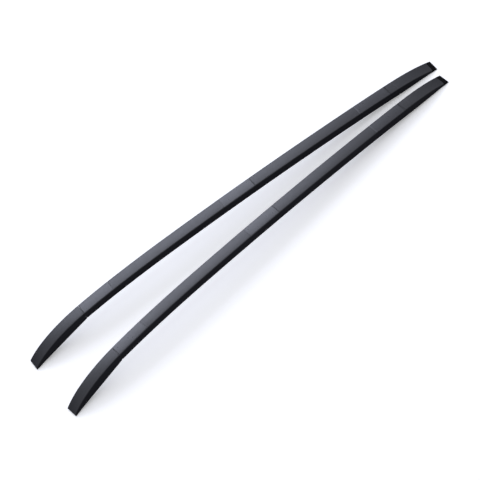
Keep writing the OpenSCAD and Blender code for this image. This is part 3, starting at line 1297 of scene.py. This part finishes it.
class Hardware(Enum):
    """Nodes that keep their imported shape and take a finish."""

    FRONT_PLATE = ("front_plate", "zinc")
    MIDDLE_PLATE = ("middle_plate", "zinc")
    REAR_PLATE = ("rear_plate", "zinc")
    END_SCREWS = ("end_screws", "zinc")
    PLATE_RIVETS = ("plate_rivets", "zinc")
    FRONT_PAD = ("front_pad", "rubber")
    REAR_PAD = ("rear_pad", "rubber")

    def dress(self, side: Side, materials: dict[str, bpy.types.Material]) -> None:
        """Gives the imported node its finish.

        Args:
            side: bar that the node belongs to.
            materials: finishes by slot.
        """
        node, slot = self.value
        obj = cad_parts[side.prefix + node]
        obj.data.materials.clear()
        obj.data.materials.append(materials[slot])
        log.info("%s: %s", obj.name, slot)


# Studio


@dataclass(frozen=True)
class Softbox:
    """Rectangular lamp that looks at the middle of the pair."""

    name: str
    towards: tuple[float, float, float]
    distance: float
    size: tuple[float, float]
    radiance: float
    tint: tuple[float, float, float] = (0.92, 0.97, 1.17)

    def hang(self) -> None:
        """Hangs the lamp."""
        width, height = self.size
        lamp = bpy.data.lights.new(self.name, "AREA")
        lamp.shape = "RECTANGLE"
        lamp.size, lamp.size_y = width, height
        lamp.energy = self.radiance * math.pi * width * height
        lamp.color = self.tint
        away = Vector(self.towards).normalized()
        obj = linked(self.name, lamp)
        obj.location = away * self.distance
        obj.rotation_euler = away.to_track_quat("Z", "Y").to_euler()


SOFTBOXES = (
    Softbox("main_softbox", (0.0, 0.70, 0.70), distance=4.0, size=(2.5, 1.9), radiance=2.46),
    Softbox("wide_softbox", (-0.02, 0.82, 0.58), distance=4.4, size=(4.5, 1.6), radiance=1.0),
)


@dataclass
class Studio:
    """Pale floor, soft light and the camera of the photograph."""

    floor_size: float = 40.0
    floor_drop: float = 0.5 * MM
    floor_seen: tuple[float, float, float] = (0.96, 0.96, 0.96)
    floor_bounce: tuple[float, float, float] = (0.15, 0.15, 0.165)
    floor_lift: float = 0.31
    room_low: float = 0.12
    room_high: float = 0.9
    room_from: float = 0.1
    room_to: float = 0.95
    room_tint: tuple[float, float, float] = (0.96, 0.98, 1.06)
    azimuth: float = 9.9665
    elevation: float = 46.29
    roll: float = 32.14
    distance: float = 11.614
    focal_px: float = 3508.7
    frame_px: int = 480
    sensor: float = 36.0
    far_clip: float = 100.0
    target: tuple[float, float, float] = (-0.0436, -0.0162, 0.0)

    def build(self) -> None:
        """Builds the floor, the lights and the camera."""
        self._floor()
        self._world()
        for softbox in SOFTBOXES:
            softbox.hang()
        self._camera()
        bpy.context.scene.view_settings.view_transform = "Standard"

    def _floor(self) -> None:
        """Lays a plane whose bounce on the object is dimmer than what the camera sees."""
        bm = bmesh.new()
        bmesh.ops.create_grid(bm, x_segments=1, y_segments=1, size=self.floor_size / 2)
        mesh = mesh_from(bm, "studio_floor")
        made = bpy.data.materials.new("studio_paper")
        made.use_nodes = True
        tree = made.node_tree
        shader = tree.nodes["Principled BSDF"]
        feed(shader, {"Roughness": 1.0, "Specular IOR Level": 0.0, "Emission Color": (1, 1, 1, 1)})
        path = tree.nodes.new("ShaderNodeLightPath")
        mix = tree.nodes.new("ShaderNodeMix")
        mix.data_type = "RGBA"
        feed(mix, {"A": (*self.floor_bounce, 1), "B": (*self.floor_seen, 1)})
        lift = tree.nodes.new("ShaderNodeMath")
        lift.operation = "MULTIPLY"
        lift.inputs[1].default_value = self.floor_lift
        wire(
            tree,
            (path.outputs["Is Camera Ray"], mix.inputs["Factor"]),
            (mix.outputs["Result"], shader.inputs["Base Color"]),
            (path.outputs["Is Camera Ray"], lift.inputs[0]),
            (lift.outputs["Value"], shader.inputs["Emission Strength"]),
        )
        mesh.materials.append(made)
        floor = linked("studio_floor", mesh)
        floor.location.z = -self.floor_drop

    def _world(self) -> None:
        """Fills the room with light that grows from the horizon to the ceiling."""
        world = bpy.data.worlds.new("studio_room")
        world.use_nodes = True
        tree = world.node_tree
        place = tree.nodes.new("ShaderNodeTexCoord")
        split = tree.nodes.new("ShaderNodeSeparateXYZ")
        ranged = tree.nodes.new("ShaderNodeMapRange")
        ranged.interpolation_type = "SMOOTHSTEP"
        feed(ranged, {
            "From Min": self.room_from, "From Max": self.room_to,
            "To Min": self.room_low, "To Max": self.room_high})
        background = tree.nodes["Background"]
        feed(background, {"Color": (*self.room_tint, 1)})
        wire(
            tree,
            (place.outputs["Generated"], split.inputs["Vector"]),
            (split.outputs["Z"], ranged.inputs["Value"]),
            (ranged.outputs["Result"], background.inputs["Strength"]),
        )
        bpy.context.scene.world = world

    def _camera(self) -> None:
        """Sets the camera at the photograph's angle."""
        a, el, r = (math.radians(v) for v in (self.azimuth, self.elevation, self.roll))
        ahead = Vector((math.sin(a) * math.cos(el), math.cos(a) * math.cos(el), -math.sin(el)))
        level = Vector((math.cos(a), -math.sin(a), 0))
        upright = Vector((math.sin(el) * math.sin(a), math.sin(el) * math.cos(a), math.cos(el)))
        right = math.cos(r) * level - math.sin(r) * upright
        up = math.sin(r) * level + math.cos(r) * upright
        lens = bpy.data.cameras.new("photo_camera")
        lens.sensor_fit = "HORIZONTAL"
        lens.sensor_width = self.sensor
        lens.lens = self.focal_px / self.frame_px * self.sensor
        lens.clip_end = self.far_clip
        camera = linked("photo_camera", lens)
        turn = Matrix((right, up, -ahead)).transposed().to_4x4()
        camera.matrix_world = Matrix.Translation(Vector(self.target) - self.distance * ahead) @ turn
        bpy.context.scene.camera = camera


def main() -> None:
    """Builds the dressed pair and its studio."""
    logging.basicConfig(level=logging.INFO, format="%(message)s")
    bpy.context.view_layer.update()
    sizes = BarSizes()
    layout = PairLayout(sizes)
    groups = SurfaceGroups()
    materials = {finish.slot: finish.material(groups) for finish in FINISHES}
    sweep = SectionSweep(sizes.line, sizes.line_end + sizes.nose_len + 2 * sizes.line.lead)
    shop = Workshop(sizes, layout, sweep, materials, COVER_FINISH.material(groups))
    cover = Cover(shop)
    meshes = {
        ("rail", "coat"): Rail(shop).mesh(),
        ("front_foot", "moulding"): FrontFoot(shop).mesh(),
        ("rear_cap", "moulding"): RearCap(shop).mesh(),
        **{
            (f"{place}_cover", "moulding"): cover.mesh(s)
            for place, s in zip(("front", "middle", "rear"), sizes.points)
        },
        ("base_gasket", "rubber"): BaseGasket(shop).mesh(),
    }
    # A near-black sheet over the bevelled nose paints the shade that the nose lies in
    nose_seal = NoseSeal(shop).mesh()
    sweep.close()
    for side in Side:
        for (node, slot), mesh in meshes.items():
            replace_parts(shop.place(mesh, side, node, slot), side.prefix + node)
        # Painted shade: the dark sheet over each bar's nose
        shop.place(nose_seal, side, "nose_seal", "rubber")
        for hardware in Hardware:
            hardware.dress(side, materials)
    Studio().build()


if __name__ == "__main__":
    main()
